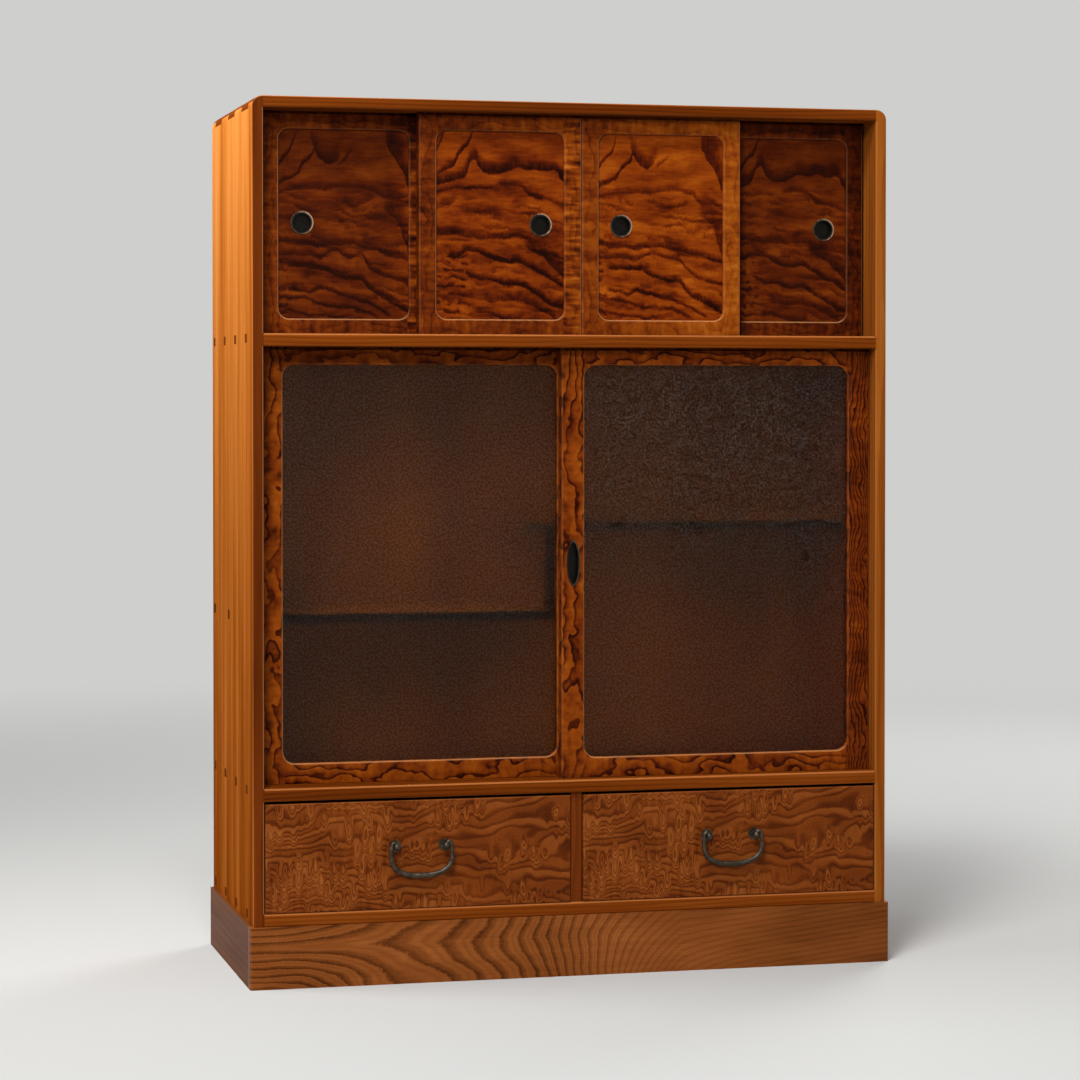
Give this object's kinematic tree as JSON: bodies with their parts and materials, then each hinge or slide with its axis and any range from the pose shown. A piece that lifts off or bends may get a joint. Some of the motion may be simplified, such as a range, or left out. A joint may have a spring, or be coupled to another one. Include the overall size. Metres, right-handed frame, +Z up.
{
  "type": "tea cabinet",
  "caption": "Free-standing Japanese tea cabinet in figured ash with small sliding panel doors above, sliding glass doors, bail-handled drawers below and a plinth.",
  "frame": {"origin": "on the floor, under the middle of the object's box", "axes": "+X to the right seen from the front, +Y to the back, +Z up"},
  "size_m": [0.889, 0.376, 1.174],
  "materials": {
    "case_wood": "straight-grained ash, satin lacquer",
    "figured_wood": "wild-figured ash, lacquered",
    "frame_wood": "burl-figured ash, lacquered",
    "inner_wood": "plain pale softwood, unfinished",
    "pane_glass": "fine textured frosted glass",
    "pull_metal": "aged bronze with a rubbed rim",
    "handle_iron": "dark patinated iron, worn to grey on top"
  },
  "bodies": {
    "case": {"left_side_panel": "case_wood", "right_side_panel": "case_wood", "top_panel": "case_wood", "upper_track_rail": "case_wood", "upper_shelf_board": "inner_wood", "lower_track_rail": "case_wood", "lower_shelf_board": "inner_wood", "bottom_rail": "case_wood", "bottom_board": "inner_wood", "drawer_divider_post": "case_wood", "drawer_partition": "inner_wood", "back_boards": "inner_wood", "step_shelf_left": "case_wood", "step_shelf_right": "case_wood", "step_shelf_strut": "case_wood", "drawer_stops": "inner_wood", "plinth_front": "figured_wood", "plinth_sides": "case_wood", "plinth_back": "inner_wood", "plinth_corner_blocks": "inner_wood"},
    "upper_door_1": {"upper_door_1_stiles": "frame_wood", "upper_door_1_rails": "frame_wood", "upper_door_1_panel": "figured_wood", "upper_door_1_pull": "pull_metal"},
    "upper_door_2": {"upper_door_2_stiles": "frame_wood", "upper_door_2_rails": "frame_wood", "upper_door_2_panel": "figured_wood", "upper_door_2_pull": "pull_metal"},
    "upper_door_3": {"upper_door_3_stiles": "frame_wood", "upper_door_3_rails": "frame_wood", "upper_door_3_panel": "figured_wood", "upper_door_3_pull": "pull_metal"},
    "upper_door_4": {"upper_door_4_stiles": "frame_wood", "upper_door_4_rails": "frame_wood", "upper_door_4_panel": "figured_wood", "upper_door_4_pull": "pull_metal"},
    "glass_door_left": {"glass_door_left_stiles": "frame_wood", "glass_door_left_rails": "frame_wood", "glass_door_left_pane": "pane_glass", "glass_door_left_beads": "frame_wood"},
    "glass_door_right": {"glass_door_right_stiles": "frame_wood", "glass_door_right_rails": "frame_wood", "glass_door_right_pane": "pane_glass", "glass_door_right_beads": "frame_wood", "glass_door_right_pull": "pull_metal"},
    "drawer_left": {"drawer_left_front": "figured_wood", "drawer_left_sides": "inner_wood", "drawer_left_back": "inner_wood", "drawer_left_bottom": "inner_wood", "handle_left_posts": "handle_iron"},
    "bail_left": {"handle_left_bail": "handle_iron"},
    "drawer_right": {"drawer_right_front": "figured_wood", "drawer_right_sides": "inner_wood", "drawer_right_back": "inner_wood", "drawer_right_bottom": "inner_wood", "handle_right_posts": "handle_iron"},
    "bail_right": {"handle_right_bail": "handle_iron"}
  },
  "joints": [
    {"name": "upper_door_1_slide", "type": "slide", "parent": "case", "child": "upper_door_1", "axis": [1, 0, 0], "range_m": [-0.003, 0.19725]},
    {"name": "upper_door_2_slide", "type": "slide", "parent": "case", "child": "upper_door_2", "axis": [1, 0, 0], "range_m": [-0.21225, 0]},
    {"name": "upper_door_3_slide", "type": "slide", "parent": "case", "child": "upper_door_3", "axis": [1, 0, 0], "range_m": [0, 0.18825]},
    {"name": "upper_door_4_slide", "type": "slide", "parent": "case", "child": "upper_door_4", "axis": [1, 0, 0], "range_m": [-0.19725, 0.003]},
    {"name": "glass_door_left_slide", "type": "slide", "parent": "case", "child": "glass_door_left", "axis": [1, 0, 0], "range_m": [0, 0.4084]},
    {"name": "glass_door_right_slide", "type": "slide", "parent": "case", "child": "glass_door_right", "axis": [1, 0, 0], "range_m": [-0.4084, 0]},
    {"name": "drawer_left_slide", "type": "slide", "parent": "case", "child": "drawer_left", "axis": [0, -1, 0], "range_m": [0, 0.24]},
    {"name": "bail_left_swing", "type": "hinge", "parent": "drawer_left", "child": "bail_left", "pos_m": [-0.21625, -0.1835, 0.1833], "axis": [-1, 0, 0], "range_deg": [0, 170]},
    {"name": "drawer_right_slide", "type": "slide", "parent": "case", "child": "drawer_right", "axis": [0, -1, 0], "range_m": [0, 0.24]},
    {"name": "bail_right_swing", "type": "hinge", "parent": "drawer_right", "child": "bail_right", "pos_m": [0.21625, -0.1835, 0.1833], "axis": [-1, 0, 0], "range_deg": [0, 170]}
  ]
}
